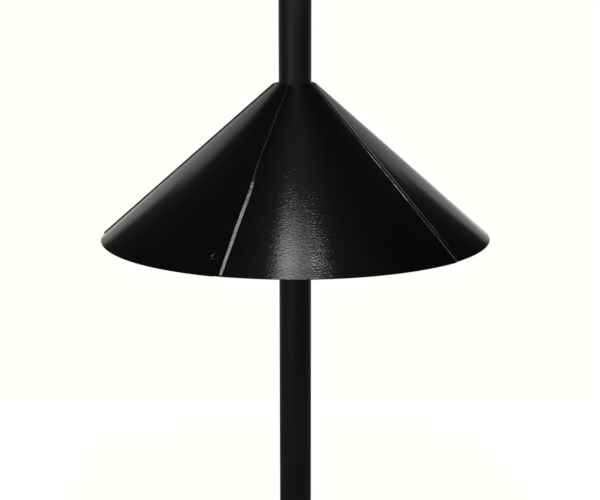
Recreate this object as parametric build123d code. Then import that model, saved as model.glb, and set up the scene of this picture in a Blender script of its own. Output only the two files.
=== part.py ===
from build123d import *
import math
import os

# A cone of lapped sheet-steel panels that hangs, free to turn and to rock, on a domed ring
# round a straight tube pole. A two-part clamp collar under the ring sets its height.
# Millimetres, +Z up along the pole, origin at the middle of the pole's open lower end,
# front towards -Y. Azimuths are in degrees from the front towards +X.

# Pole section and the coupler that joins it to the next one
POLE_DIAMETER = 32.0
POLE_WALL = 1.5
POLE_LENGTH = 580.0
COUPLER_WALL = 1.5
COUPLER_CLEARANCE = 0.1
COUPLER_INSERTION = 60.0
COUPLER_BEAD_HEIGHT = 3.0
COUPLER_REACH = 40.0
COUPLER_CHAMFER = 0.7
SOCKET_SIZING = 0.4
SOCKET_CLEARANCE = 0.2
SOCKET_SPARE_DEPTH = 2.0

# Cone of panels
RIM_DIAMETER = 385.0
CONE_HEIGHT = 151.5
RIM_ABOVE_POLE_END = 310.0
THROAT_CLEARANCE = 4.5
SHEET = 0.8
PANEL_COUNT = 5
FIRST_SEAM_AZIMUTH = -22.0
LAP_WIDTH_AT_RIM = 20.0
LAP_GAP = 0.1

# Low pressed ridge along the covering edge of each panel, its lip thinned towards the edge
RIDGE_HEIGHT = 0.35
RIDGE_WALL_RUN = 0.5
RIDGE_FLAT = 2.4
RIDGE_LIP_RUN = 2.6
RIDGE_LIP_EDGE = 0.25
RIDGE_FOOT_GAP = 0.15
RIDGE_RIM_SETBACK = 2.0

# Screw, washer and nut that close the last seam
CLOSING_SEAM = 0
SEAM_SCREW_DIAMETER = 4.0
SEAM_SCREW_LENGTH = 8.0
SEAM_HOLE_CLEARANCE = 0.2
SEAM_HEAD_FLATS = 7.0
SEAM_HEAD_HEIGHT = 2.4
SEAM_DISH_MARGIN = 0.65
SEAM_DISH_DEPTH = 0.75
SEAM_DISH_WALL_RUN = 0.86
SEAM_SCREW_FROM_RIDGE = 5.7
SEAM_SCREW_FROM_RIM = 19.7
SEAM_WASHER_DIAMETER = 9.0
SEAM_WASHER_THICKNESS = 0.8
SEAM_NUT_FLATS = 7.0
SEAM_NUT_HEIGHT = 3.2
SEAT_GAP = 0.06
THREAD_GAP = 0.05

# Domed ring that the cone rocks on
RUNNING_CLEARANCE = 0.3
PIVOT_CONTACT_INSET = 1.5
RING_SEAT_ABOVE_CENTRE = 14.0
RING_TOP_BELOW_THROAT = 1.2
RING_SEAT_CLEARANCE = 0.2

# Clamp collar in two halves, with a rubber liner in each
LINER_THICKNESS = 2.2
LINER_FIT = 0.1
LINER_END_INSET = 1.0
COLLAR_WALL = 4.5
COLLAR_HEIGHT = 48.0
COLLAR_FLANGE_REACH = 4.0
COLLAR_FLANGE_THICKNESS = 4.0
COLLAR_SPLIT_GAP = 1.2
EAR_THICKNESS = 7.0
EAR_RADIUS = 10.0

# Clamp bolts, washers and wing nuts
BOLT_DIAMETER = 5.0
BOLT_HOLE_CLEARANCE = 0.2
BOLT_HEAD_FLATS = 8.0
BOLT_HEAD_HEIGHT = 3.5
BOLT_END_SHOW = 4.0
CLAMP_WASHER_DIAMETER = 10.0
CLAMP_WASHER_THICKNESS = 1.0
WING_REACH = 13.0
WING_THICKNESS = 2.6
WING_TIP_RADIUS = 4.6
WING_HEIGHT = 13.0
WING_HUB_RADIUS = 5.2
WING_HUB_TOP_RADIUS = 4.2
WING_HUB_HEIGHT = 6.5
WING_THREAD_CLEARANCE = 0.2
WING_SEAT_CLEARANCE = 0.2
WING_TO_SLEEVE = 0.6

# Worked out from the sizes above
pole_radius = POLE_DIAMETER / 2
bore_radius = pole_radius - POLE_WALL
coupler_radius = bore_radius - COUPLER_CLEARANCE
socket_radius = bore_radius + SOCKET_SIZING
spigot_radius = socket_radius - SOCKET_CLEARANCE
bead_top_z = POLE_LENGTH + COUPLER_BEAD_HEIGHT
rim_radius = RIM_DIAMETER / 2
throat_radius = pole_radius + THROAT_CLEARANCE
rim_z = RIM_ABOVE_POLE_END
throat_z = rim_z + CONE_HEIGHT
slope = math.atan2(CONE_HEIGHT, rim_radius - throat_radius)
sin_slope = math.sin(slope)
cos_slope = math.cos(slope)
slant_length = math.hypot(CONE_HEIGHT, rim_radius - throat_radius)
pitch = 360.0 / PANEL_COUNT
lap_angle = math.degrees(LAP_WIDTH_AT_RIM / rim_radius)

# Each panel's own axis stands a little to the side of the pole's, so that its covering edge
# lies one sheet and a small gap outside the edge that the next panel tucks under it.
lap_step = SHEET + LAP_GAP
panel_shift = lap_step / (2 * math.sin(math.radians(pitch / 2)) * sin_slope)
inward_lap = panel_shift * math.sin(math.radians(pitch / 2 + lap_angle)) * sin_slope

# The ring's dome is part of a sphere that the cone's inside touches along one circle.
contact_radius = throat_radius + PIVOT_CONTACT_INSET
contact_z = throat_z - SHEET / cos_slope - PIVOT_CONTACT_INSET * math.tan(slope)
pivot_z = contact_z - contact_radius / math.tan(slope)
dome_radius = contact_radius / sin_slope - inward_lap - RUNNING_CLEARANCE
ring_seat_z = pivot_z + RING_SEAT_ABOVE_CENTRE
ring_bore_radius = pole_radius + RUNNING_CLEARANCE
ring_top_z = throat_z - RING_TOP_BELOW_THROAT

collar_top_z = ring_seat_z - RING_SEAT_CLEARANCE
collar_bottom_z = collar_top_z - COLLAR_HEIGHT
liner_inner_radius = pole_radius + RUNNING_CLEARANCE
liner_outer_radius = liner_inner_radius + LINER_THICKNESS
collar_inner_radius = liner_outer_radius + LINER_FIT
collar_outer_radius = collar_inner_radius + COLLAR_WALL
bolt_x = collar_outer_radius + WING_REACH + WING_TO_SLEEVE
bolt_z = collar_bottom_z + EAR_RADIUS
ear_outer_y = COLLAR_SPLIT_GAP / 2 + EAR_THICKNESS
washer_outer_y = ear_outer_y + CLAMP_WASHER_THICKNESS
wing_seat_y = washer_outer_y + WING_SEAT_CLEARANCE
bolt_end_y = wing_seat_y + WING_HUB_HEIGHT + BOLT_END_SHOW


def tube(outer_radius, inner_radius, z_low, z_high):
    """A straight tube on the pole's axis."""
    height = z_high - z_low
    wall = Cylinder(outer_radius, height) - Cylinder(inner_radius, height)
    return Pos(0, 0, (z_low + z_high) / 2) * wall


def outward(azimuth):
    """The level direction that points away from the pole at an azimuth."""
    angle = math.radians(azimuth)
    return Vector(math.sin(angle), -math.cos(angle), 0)


def along(azimuth):
    """The level direction of growing azimuth."""
    angle = math.radians(azimuth)
    return Vector(math.cos(angle), math.sin(angle), 0)


def sheet_normal(azimuth):
    """The direction square to the cone's outer face at an azimuth."""
    return outward(azimuth) * sin_slope + Vector(0, 0, cos_slope)


def seam_azimuth(index):
    """Where the covering edge of a panel runs."""
    return FIRST_SEAM_AZIMUTH + index * pitch


def panel_axis_offset(index):
    """How far a panel's own axis stands from the pole's."""
    return along(seam_azimuth(index) - pitch / 2) * panel_shift


def pole_tube():
    """The straight pole, opened out inside its lower end for the coupler of the section below."""
    socket_depth = COUPLER_REACH + SOCKET_SPARE_DEPTH
    socket = Cylinder(socket_radius, 2 * socket_depth)
    return tube(pole_radius, bore_radius, 0, POLE_LENGTH) - socket


def pole_coupler():
    """The sleeve in the pole's upper end, its bead, and the wider free end for the next section."""
    inner = coupler_radius - COUPLER_WALL
    spigot = tube(spigot_radius, inner, POLE_LENGTH, bead_top_z + COUPLER_REACH)
    mouth = spigot.edges().filter_by(GeomType.CIRCLE).sort_by(Axis.Z)[-2:].sort_by(SortBy.RADIUS)[-1]
    sleeve = tube(coupler_radius, inner, POLE_LENGTH - COUPLER_INSERTION, bead_top_z)
    bead = tube(pole_radius, inner, POLE_LENGTH, bead_top_z)
    return chamfer(mouth, COUPLER_CHAMFER) + sleeve + bead


def seam_screw_frame():
    """The plane on the closing panel's outer face, at the screw that holds its covering edge."""
    slant = slant_length - SEAM_SCREW_FROM_RIM
    radius = throat_radius + slant * cos_slope
    azimuth = seam_azimuth(CLOSING_SEAM) - math.degrees(SEAM_SCREW_FROM_RIDGE / radius)
    place = panel_axis_offset(CLOSING_SEAM) + outward(azimuth) * radius
    place += Vector(0, 0, throat_z - slant * sin_slope)
    return Plane(origin=place, x_dir=along(azimuth), z_dir=sheet_normal(azimuth))


def seam_hole():
    """The drilling for the seam screw, through both lapped sheets."""
    hole_radius = SEAM_SCREW_DIAMETER / 2 + SEAM_HOLE_CLEARANCE
    return seam_screw_frame() * Cylinder(hole_radius, 4 * lap_step)


def ridge(index):
    """The pressed ridge: a short wall, a flat top and a thinned lip that slopes to the next panel."""
    wall_length = math.hypot(RIDGE_WALL_RUN, RIDGE_HEIGHT)
    wall_shift = SHEET * wall_length / RIDGE_HEIGHT
    wall_rate = RIDGE_WALL_RUN / RIDGE_HEIGHT
    foot = -lap_step + RIDGE_FOOT_GAP
    inner_top = RIDGE_HEIGHT - SHEET
    lip_start = RIDGE_WALL_RUN + RIDGE_FLAT
    lip_end = lip_start + RIDGE_LIP_RUN
    outline = [
        (0, 0),
        (RIDGE_WALL_RUN, RIDGE_HEIGHT),
        (lip_start, RIDGE_HEIGHT),
        (lip_end, foot + RIDGE_LIP_EDGE),
        (lip_end, foot),
        (lip_start, inner_top),
        (wall_shift + inner_top * wall_rate, inner_top),
        (wall_shift - SHEET * wall_rate, -SHEET),
        (0, -SHEET),
    ]
    azimuth = seam_azimuth(index)
    start = panel_axis_offset(index) + outward(azimuth) * throat_radius + Vector(0, 0, throat_z)
    downhill = outward(azimuth) * cos_slope - Vector(0, 0, sin_slope)
    section = Plane(origin=start, x_dir=along(azimuth), z_dir=downhill)
    face = make_face(Polyline(*outline, close=True))
    return extrude(section * face, slant_length - RIDGE_RIM_SETBACK)


def cone_panel(index):
    """One rolled panel with its ridge, drilled if it meets the closing seam."""
    inner_in = SHEET * sin_slope
    inner_down = SHEET * cos_slope
    section = Polyline(
        (throat_radius, throat_z),
        (rim_radius, rim_z),
        (rim_radius - inner_in, rim_z - inner_down),
        (throat_radius - inner_in, throat_z - inner_down),
        close=True,
    )
    sweep_angle = pitch + lap_angle
    rolled = revolve(Plane.XZ * make_face(section), Axis.Z, sweep_angle)
    start_angle = seam_azimuth(index) - 90 - sweep_angle
    rolled = Pos(*panel_axis_offset(index)) * Rot(0, 0, start_angle) * rolled
    panel = rolled + ridge(index)
    if CLOSING_SEAM in (index, index - 1):
        panel -= seam_hole()
    return panel


def seam_screw():
    """A hexagon screw with a dished head, from outside through both sheets."""
    head = extrude(RegularPolygon(SEAM_HEAD_FLATS / 2, 6, major_radius=False), SEAM_HEAD_HEIGHT)
    dish_radius = SEAM_HEAD_FLATS / 2 - SEAM_DISH_MARGIN
    dish = Cone(dish_radius - SEAM_DISH_WALL_RUN, dish_radius, SEAM_DISH_DEPTH)
    head -= Pos(0, 0, SEAM_HEAD_HEIGHT - SEAM_DISH_DEPTH / 2) * dish
    shank = Pos(0, 0, -SEAM_SCREW_LENGTH / 2) * Cylinder(SEAM_SCREW_DIAMETER / 2, SEAM_SCREW_LENGTH)
    return seam_screw_frame() * (head + shank)


def seam_washer():
    """The washer under the nut, against the tucked-in sheet."""
    top = -lap_step - SHEET - SEAT_GAP
    hole_radius = SEAM_SCREW_DIAMETER / 2 + SEAM_HOLE_CLEARANCE
    washer = Cylinder(SEAM_WASHER_DIAMETER / 2, SEAM_WASHER_THICKNESS)
    washer -= Cylinder(hole_radius, SEAM_WASHER_THICKNESS)
    return seam_screw_frame() * Pos(0, 0, top - SEAM_WASHER_THICKNESS / 2) * washer


def seam_nut():
    """The hexagon nut on the inside of the seam."""
    top = -lap_step - SHEET - SEAT_GAP - SEAM_WASHER_THICKNESS
    hexagon = RegularPolygon(SEAM_NUT_FLATS / 2, 6, major_radius=False)
    nut = extrude(hexagon, -SEAM_NUT_HEIGHT)
    hole = Cylinder(SEAM_SCREW_DIAMETER / 2 + THREAD_GAP, 2 * SEAM_NUT_HEIGHT)
    return seam_screw_frame() * Pos(0, 0, top) * (nut - hole)


def pivot_ring():
    """The domed ring that turns on the collar and carries the cone."""
    top_height = ring_top_z - pivot_z
    seat_radius = math.sqrt(dome_radius**2 - RING_SEAT_ABOVE_CENTRE**2)
    top_radius = math.sqrt(dome_radius**2 - top_height**2)
    seat_angle = math.asin(RING_SEAT_ABOVE_CENTRE / dome_radius)
    top_angle = math.asin(top_height / dome_radius)
    middle_angle = (seat_angle + top_angle) / 2
    middle = (dome_radius * math.cos(middle_angle), pivot_z + dome_radius * math.sin(middle_angle))
    section = make_face(
        [
            Line((ring_bore_radius, ring_seat_z), (seat_radius, ring_seat_z)),
            ThreePointArc((seat_radius, ring_seat_z), middle, (top_radius, ring_top_z)),
            Line((top_radius, ring_top_z), (ring_bore_radius, ring_top_z)),
            Line((ring_bore_radius, ring_top_z), (ring_bore_radius, ring_seat_z)),
        ]
    )
    return revolve(Plane.XZ * section, Axis.Z)


def half_space(side):
    """A block that holds what lies on one side of the collar's split, -1 front and 1 rear."""
    reach = 2 * (bolt_x + EAR_RADIUS)
    height = 2 * COLLAR_HEIGHT
    middle_z = (collar_top_z + collar_bottom_z) / 2
    return Pos(0, side * (COLLAR_SPLIT_GAP / 2 + reach / 2), middle_z) * Box(reach, reach, height)


def collar_half(side):
    """One half of the clamp collar: half a sleeve, half a flange and two ears."""
    flange_low = collar_top_z - COLLAR_FLANGE_THICKNESS
    whole = tube(collar_outer_radius, collar_inner_radius, collar_bottom_z, collar_top_z)
    flange_radius = collar_outer_radius + COLLAR_FLANGE_REACH
    whole += tube(flange_radius, collar_inner_radius, flange_low, collar_top_z)
    for hand in (-1, 1):
        bridge_in = collar_inner_radius + COLLAR_WALL / 2
        bridge = Box(bolt_x - bridge_in, 2 * ear_outer_y, 2 * EAR_RADIUS)
        ear = Pos(hand * (bolt_x + bridge_in) / 2, 0, bolt_z) * bridge
        ear += Pos(hand * bolt_x, 0, bolt_z) * Rot(90, 0, 0) * Cylinder(EAR_RADIUS, 2 * ear_outer_y)
        hole = Cylinder(BOLT_DIAMETER / 2 + BOLT_HOLE_CLEARANCE, 3 * ear_outer_y)
        whole += ear - Pos(hand * bolt_x, 0, bolt_z) * Rot(90, 0, 0) * hole
    sleeve_space = Cylinder(collar_inner_radius, 2 * COLLAR_HEIGHT)
    whole -= Pos(0, 0, collar_bottom_z) * sleeve_space
    return whole & half_space(side)


def collar_liner(side):
    """The rubber half-sleeve that grips the pole."""
    low = collar_bottom_z + LINER_END_INSET
    high = collar_top_z - LINER_END_INSET
    return tube(liner_outer_radius, liner_inner_radius, low, high) & half_space(side)


def clamp_bolt(hand):
    """A hexagon bolt through both ears, head at the front and thread end at the rear."""
    head = extrude(RegularPolygon(BOLT_HEAD_FLATS / 2, 6, major_radius=False), BOLT_HEAD_HEIGHT)
    shank_length = washer_outer_y + bolt_end_y
    shank = Pos(0, 0, -shank_length / 2) * Cylinder(BOLT_DIAMETER / 2, shank_length)
    place = Plane(origin=(hand * bolt_x, -washer_outer_y, bolt_z), x_dir=(1, 0, 0), z_dir=(0, -1, 0))
    return place * (head + shank)


def clamp_washer(hand, side):
    """A plain washer on an ear's outer face."""
    hole_radius = BOLT_DIAMETER / 2 + BOLT_HOLE_CLEARANCE
    washer = Cylinder(CLAMP_WASHER_DIAMETER / 2, CLAMP_WASHER_THICKNESS)
    washer -= Cylinder(hole_radius, CLAMP_WASHER_THICKNESS)
    middle_y = side * (ear_outer_y + washer_outer_y) / 2
    return Pos(hand * bolt_x, middle_y, bolt_z) * Rot(90, 0, 0) * washer


def wing_nut(hand):
    """A wing nut on the thread end of one bolt, wings level."""
    hub = Pos(0, 0, WING_HUB_HEIGHT / 2) * Cone(WING_HUB_RADIUS, WING_HUB_TOP_RADIUS, WING_HUB_HEIGHT)
    tip_x = WING_REACH - WING_TIP_RADIUS
    tip_z = WING_HEIGHT - WING_TIP_RADIUS
    tip = Pos(tip_x, tip_z) * Circle(WING_TIP_RADIUS)
    root_x = WING_HUB_TOP_RADIUS / 2 + BOLT_DIAMETER / 4 + WING_THREAD_CLEARANCE / 2
    root = Pos(root_x, WING_HUB_HEIGHT / 2) * Rectangle(WING_THREAD_CLEARANCE, WING_HUB_HEIGHT - WING_THICKNESS)
    wing_face = make_hull(tip.edges() + root.edges())
    wing = extrude(Plane.XZ * wing_face, WING_THICKNESS / 2, both=True)
    body = hub + wing + Rot(0, 0, 180) * wing
    body -= Cylinder(BOLT_DIAMETER / 2 + WING_THREAD_CLEARANCE, 4 * WING_HEIGHT)
    place = Plane(origin=(hand * bolt_x, wing_seat_y, bolt_z), x_dir=(1, 0, 0), z_dir=(0, 1, 0))
    return place * body


def all_nodes():
    """Every node of the part, by name."""
    nodes = {
        "pole_tube": pole_tube(),
        "pole_coupler": pole_coupler(),
        "collar_half_front": collar_half(-1),
        "collar_half_rear": collar_half(1),
        "collar_liner_front": collar_liner(-1),
        "collar_liner_rear": collar_liner(1),
        "clamp_bolt_left": clamp_bolt(-1),
        "clamp_bolt_right": clamp_bolt(1),
        "clamp_washers": Compound(children=[clamp_washer(h, s) for h in (-1, 1) for s in (-1, 1)]),
        "wing_nut_left": wing_nut(-1),
        "wing_nut_right": wing_nut(1),
        "pivot_ring": pivot_ring(),
        "seam_screw": seam_screw(),
        "seam_washer": seam_washer(),
        "seam_nut": seam_nut(),
    }
    for index in range(PANEL_COUNT):
        nodes[f"cone_panel_{index + 1}"] = cone_panel(index)
    return nodes


os.makedirs("parts", exist_ok=True)
for name, shape in all_nodes().items():
    export_step(shape, f"parts/{name}.step")
print(f"cone slope {math.degrees(slope):.2f} deg, slant {slant_length:.1f}")
print(f"pivot at z {pivot_z:.2f}, dome radius {dome_radius:.2f}, ring seat z {ring_seat_z:.2f}")
print(f"bolts at x {bolt_x:.2f}, z {bolt_z:.2f}, wing seat y {wing_seat_y:.2f}")
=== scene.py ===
"""Looks of a conical pole baffle: lapped sheet panels that hang on a ring round a tube pole."""

import logging
import math
from dataclasses import dataclass, field
from enum import Enum
from functools import partial
from typing import Callable, Optional, Sequence

import bmesh
import bpy
from mathutils import Matrix, Vector


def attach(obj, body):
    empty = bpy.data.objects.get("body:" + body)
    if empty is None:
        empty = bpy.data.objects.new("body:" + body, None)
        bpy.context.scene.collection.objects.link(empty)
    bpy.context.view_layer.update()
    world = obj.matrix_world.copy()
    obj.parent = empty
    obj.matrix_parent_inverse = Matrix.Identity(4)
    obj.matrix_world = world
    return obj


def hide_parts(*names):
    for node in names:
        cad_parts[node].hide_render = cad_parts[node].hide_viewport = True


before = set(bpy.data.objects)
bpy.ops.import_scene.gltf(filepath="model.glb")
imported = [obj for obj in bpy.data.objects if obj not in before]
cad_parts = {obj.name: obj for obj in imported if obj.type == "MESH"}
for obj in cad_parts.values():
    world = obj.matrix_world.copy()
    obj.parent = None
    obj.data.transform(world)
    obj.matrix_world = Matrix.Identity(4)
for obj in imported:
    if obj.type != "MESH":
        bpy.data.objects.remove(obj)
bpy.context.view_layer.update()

MM = 0.001
FULL_TURN = 2 * math.pi
SHARP_ANGLE = math.radians(38)
BEVEL_ANGLE = math.radians(50)
BEVEL_SEGMENTS = 2
CLOUD_DETAIL = 3.0
CLOUD_SPAN = (0.3, 0.7)
WHITE = (1.0, 1.0, 1.0, 1.0)

Colour = tuple[float, float, float]
Place = tuple[float, float, float]
Span = tuple[float, float]
Profile = list[tuple[float, float]]
SpinRow = Callable[[float], tuple[float, float]]
Pieces = list[bpy.types.Object]

log = logging.getLogger("scene")


class Body(Enum):
    """The moving bodies that the mesh pieces ride on."""

    POLE = "pole"
    COLLAR = "collar"
    RING = "ring"
    CONE = "cone"


class Slot(Enum):
    """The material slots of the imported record."""

    POLE_COAT = "pole_coat"
    PANEL_COAT = "panel_coat"
    SCREW_COAT = "screw_coat"
    ZINC = "zinc"
    COLLAR_NYLON = "collar_nylon"
    RING_NYLON = "ring_nylon"
    LINER_RUBBER = "liner_rubber"


class Hand(Enum):
    """The two ends of the clamp collar."""

    LEFT = -1
    RIGHT = 1


class Side(Enum):
    """The two halves of the clamp collar."""

    FRONT = -1
    REAR = 1


def held(value: float) -> float:
    """A value held between 0 and 1."""
    return min(max(value, 0.0), 1.0)


class NodeSheet:
    """A node tree with short calls that add and link its nodes."""

    def __init__(self, tree: bpy.types.NodeTree) -> None:
        """Empties the tree."""
        self.tree = tree
        tree.nodes.clear()

    def add(self, kind: str, settings: Optional[dict] = None, **inputs: object) -> bpy.types.Node:
        """Adds one node.

        Args:
            kind: Blender's name for the node type.
            settings: Properties of the node itself.
            inputs: Values or sockets by input name, with underscores for spaces.

        Returns:
            The new node.
        """
        node = self.tree.nodes.new(kind)
        for name, value in (settings or {}).items():
            setattr(node, name, value)
        for name, value in inputs.items():
            self.feed(node.inputs[name.replace("_", " ")], value)
        return node

    def feed(self, socket: bpy.types.NodeSocket, value: object) -> None:
        """Links a socket to an output, or writes a plain value into it.

        Args:
            socket: The input that takes the value.
            value: Another node's output, or a plain value.
        """
        if isinstance(value, bpy.types.NodeSocket):
            self.tree.links.new(value, socket)
        else:
            socket.default_value = value

    def math(self, operation: str, first: object, second: object) -> bpy.types.NodeSocket:
        """Adds one math node.

        Args:
            operation: Blender's name for the operation.
            first: The first value or socket.
            second: The second value or socket.

        Returns:
            The socket of the result.
        """
        node = self.add("ShaderNodeMath", {"operation": operation})
        self.feed(node.inputs[0], first)
        self.feed(node.inputs[1], second)
        return node.outputs[0]

    def remap(self, value: object, source: Span, target: Span) -> bpy.types.NodeSocket:
        """Carries a value softly from one range to another and holds it at the ends.

        Args:
            value: The value or socket.
            source: The range that it comes from.
            target: The range that it goes to.

        Returns:
            The socket of the result.
        """
        node = self.add(
            "ShaderNodeMapRange",
            {"interpolation_type": "SMOOTHSTEP"},
            Value=value,
            From_Min=source[0],
            From_Max=source[1],
            To_Min=target[0],
            To_Max=target[1],
        )
        return node.outputs["Result"]

    def noise(self, place: object, size: float, detail: float) -> bpy.types.NodeSocket:
        """Noise whose features are about as large as the given size in metres."""
        node = self.add("ShaderNodeTexNoise", Vector=place, Scale=1 / size, Detail=detail)
        return node.outputs["Fac"]

    def ramp(self, value: object, low: Colour, high: Colour) -> bpy.types.NodeSocket:
        """Makes a colour between two colours.

        Args:
            value: The value or socket that chooses between them.
            low: The colour of low values.
            high: The colour of high values.

        Returns:
            The socket of the colour.
        """
        node = self.add("ShaderNodeValToRGB", Fac=value)
        first, last = node.color_ramp.elements
        first.position, last.position = CLOUD_SPAN
        first.color = (*low, 1.0)
        last.color = (*high, 1.0)
        return node.outputs["Color"]

    def bump(
        self,
        height: object,
        distance: float,
        strength: float,
        under: Optional[bpy.types.NodeSocket] = None,
    ) -> bpy.types.NodeSocket:
        """Makes the normal of a fine relief.

        Args:
            height: The socket of the relief's height.
            distance: How high the relief stands.
            strength: How much of it is shown.
            under: The normal of a coarser relief under it.

        Returns:
            The socket of the normal.
        """
        node = self.add("ShaderNodeBump", Strength=strength, Distance=distance, Height=height)
        if under is not None:
            self.feed(node.inputs["Normal"], under)
        return node.outputs["Normal"]

    def surface(self, **inputs: object) -> None:
        """Ends a material's tree with one shader that has these inputs."""
        shader = self.add("ShaderNodeBsdfPrincipled", **inputs)
        self.add("ShaderNodeOutputMaterial", Surface=shader.outputs[0])

    def rays(self) -> tuple[bpy.types.NodeSocket, bpy.types.NodeSocket]:
        """Tells what sees a surface.

        Returns:
            Whether the camera sees it, and whether a glossy or clear surface does.
        """
        ray = self.add("ShaderNodeLightPath").outputs
        mirrored = self.math("MAXIMUM", ray["Is Glossy Ray"], ray["Is Transmission Ray"])
        return ray["Is Camera Ray"], mirrored


def new_material(name: str) -> tuple[bpy.types.Material, NodeSheet]:
    """Makes an empty node material.

    Args:
        name: The material's name.

    Returns:
        The material and the sheet of its tree.
    """
    material = bpy.data.materials.new(name)
    material.use_nodes = True
    return material, NodeSheet(material.node_tree)


@dataclass(frozen=True)
class TexturedCoat:
    """Black powder coat with a fine grain that breaks up its gloss."""

    name: str
    dark: Colour
    light: Colour
    roughness: Span
    grain_size: float
    grain_height: float
    speck_size: float
    speck_height: float
    clear_weight: float = 0.0
    clear_roughness: float = 0.1
    specular: float = 0.5
    cloud_size: float = 45.0 * MM
    grain_detail: float = 1.0
    relief: float = 1.0

    def material(self) -> bpy.types.Material:
        """Makes the coat.

        Returns:
            The coat as a node material.
        """
        material, sheet = new_material(self.name)
        place = sheet.add("ShaderNodeTexCoord").outputs["Object"]
        cloud = sheet.noise(place, self.cloud_size, CLOUD_DETAIL)
        grain = sheet.noise(place, self.grain_size, self.grain_detail)
        speck = sheet.noise(place, self.speck_size, self.grain_detail)
        coarse = sheet.bump(grain, self.grain_height, self.relief)
        fine = sheet.bump(speck, self.speck_height, self.relief, coarse)
        sheet.surface(
            Base_Color=sheet.ramp(cloud, self.dark, self.light),
            Roughness=sheet.remap(cloud, CLOUD_SPAN, self.roughness),
            Specular_IOR_Level=self.specular,
            Coat_Weight=self.clear_weight,
            Coat_Roughness=self.clear_roughness,
            Normal=fine,
            Coat_Normal=fine,
        )
        return material


@dataclass(frozen=True)
class Plating:
    """Zinc plate with a cloudy gloss and faint tarnish."""

    name: str
    bright: Colour
    dull: Colour
    roughness: Span
    scratch_size: float
    scratch_height: float
    cloud_size: float = 6.0 * MM
    scratch_detail: float = 2.0
    relief: float = 0.6

    def material(self) -> bpy.types.Material:
        """Makes the plating.

        Returns:
            The plating as a node material.
        """
        material, sheet = new_material(self.name)
        place = sheet.add("ShaderNodeTexCoord").outputs["Object"]
        cloud = sheet.noise(place, self.cloud_size, CLOUD_DETAIL)
        scratch = sheet.noise(place, self.scratch_size, self.scratch_detail)
        sheet.surface(
            Base_Color=sheet.ramp(cloud, self.dull, self.bright),
            Metallic=1.0,
            Roughness=sheet.remap(cloud, CLOUD_SPAN, self.roughness),
            Normal=sheet.bump(scratch, self.scratch_height, self.relief),
        )
        return material


@dataclass(frozen=True)
class Moulding:
    """Moulded plastic or rubber with a fine spark-eroded surface."""

    name: str
    dark: Colour
    light: Colour
    roughness: Span
    grain_size: float
    grain_height: float
    cloud_size: float = 15.0 * MM
    grain_detail: float = 2.0
    relief: float = 0.8

    def material(self) -> bpy.types.Material:
        """Makes the moulding.

        Returns:
            The moulding as a node material.
        """
        material, sheet = new_material(self.name)
        place = sheet.add("ShaderNodeTexCoord").outputs["Object"]
        cloud = sheet.noise(place, self.cloud_size, CLOUD_DETAIL)
        grain = sheet.noise(place, self.grain_size, self.grain_detail)
        sheet.surface(
            Base_Color=sheet.ramp(cloud, self.dark, self.light),
            Roughness=sheet.remap(cloud, CLOUD_SPAN, self.roughness),
            Normal=sheet.bump(grain, self.grain_height, self.relief),
        )
        return material


@dataclass
class Finishes:
    """One material for each slot of the record."""

    panel: TexturedCoat = TexturedCoat(
        name="panel_coat",
        dark=(0.0003, 0.0003, 0.0003),
        light=(0.0007, 0.0007, 0.0007),
        roughness=(0.42, 0.44),
        grain_size=1.4 * MM,
        grain_height=0.08 * MM,
        speck_size=0.7 * MM,
        speck_height=0.012 * MM,
        clear_weight=0.7,
        clear_roughness=0.06,
        specular=0.1,
    )
    pole: TexturedCoat = TexturedCoat(
        name="pole_coat",
        dark=(0.0015, 0.0015, 0.0016),
        light=(0.0028, 0.0028, 0.003),
        roughness=(0.42, 0.5),
        grain_size=1.1 * MM,
        grain_height=0.02 * MM,
        speck_size=0.5 * MM,
        speck_height=0.006 * MM,
    )
    screw: TexturedCoat = TexturedCoat(
        name="screw_coat",
        dark=(0.001, 0.001, 0.001),
        light=(0.002, 0.002, 0.002),
        roughness=(0.12, 0.18),
        grain_size=0.8 * MM,
        grain_height=0.008 * MM,
        speck_size=0.4 * MM,
        speck_height=0.003 * MM,
        clear_weight=1.0,
        clear_roughness=0.05,
    )
    zinc: Plating = Plating(
        name="zinc",
        bright=(0.66, 0.67, 0.68),
        dull=(0.5, 0.5, 0.49),
        roughness=(0.22, 0.4),
        scratch_size=0.8 * MM,
        scratch_height=0.01 * MM,
    )
    collar: Moulding = Moulding(
        name="collar_nylon",
        dark=(0.012, 0.012, 0.0125),
        light=(0.019, 0.019, 0.02),
        roughness=(0.42, 0.55),
        grain_size=0.6 * MM,
        grain_height=0.02 * MM,
    )
    ring: Moulding = Moulding(
        name="ring_nylon",
        dark=(0.004, 0.004, 0.0042),
        light=(0.007, 0.007, 0.0073),
        roughness=(0.4, 0.52),
        grain_size=0.6 * MM,
        grain_height=0.012 * MM,
    )
    liner: Moulding = Moulding(
        name="liner_rubber",
        dark=(0.01, 0.01, 0.01),
        light=(0.016, 0.016, 0.016),
        roughness=(0.7, 0.85),
        grain_size=0.9 * MM,
        grain_height=0.03 * MM,
    )
    made: dict[Slot, bpy.types.Material] = field(default_factory=dict)

    def make(self) -> None:
        """Makes every material once."""
        self.made = {
            Slot.PANEL_COAT: self.panel.material(),
            Slot.POLE_COAT: self.pole.material(),
            Slot.SCREW_COAT: self.screw.material(),
            Slot.ZINC: self.zinc.material(),
            Slot.COLLAR_NYLON: self.collar.material(),
            Slot.RING_NYLON: self.ring.material(),
            Slot.LINER_RUBBER: self.liner.material(),
        }

    def of(self, slot: Slot) -> bpy.types.Material:
        """The material of one slot."""
        return self.made[slot]


@dataclass(frozen=True)
class Corner:
    """A corner of an outline and the radius that rounds it."""

    x: float
    y: float
    radius: float = 0.0


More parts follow.
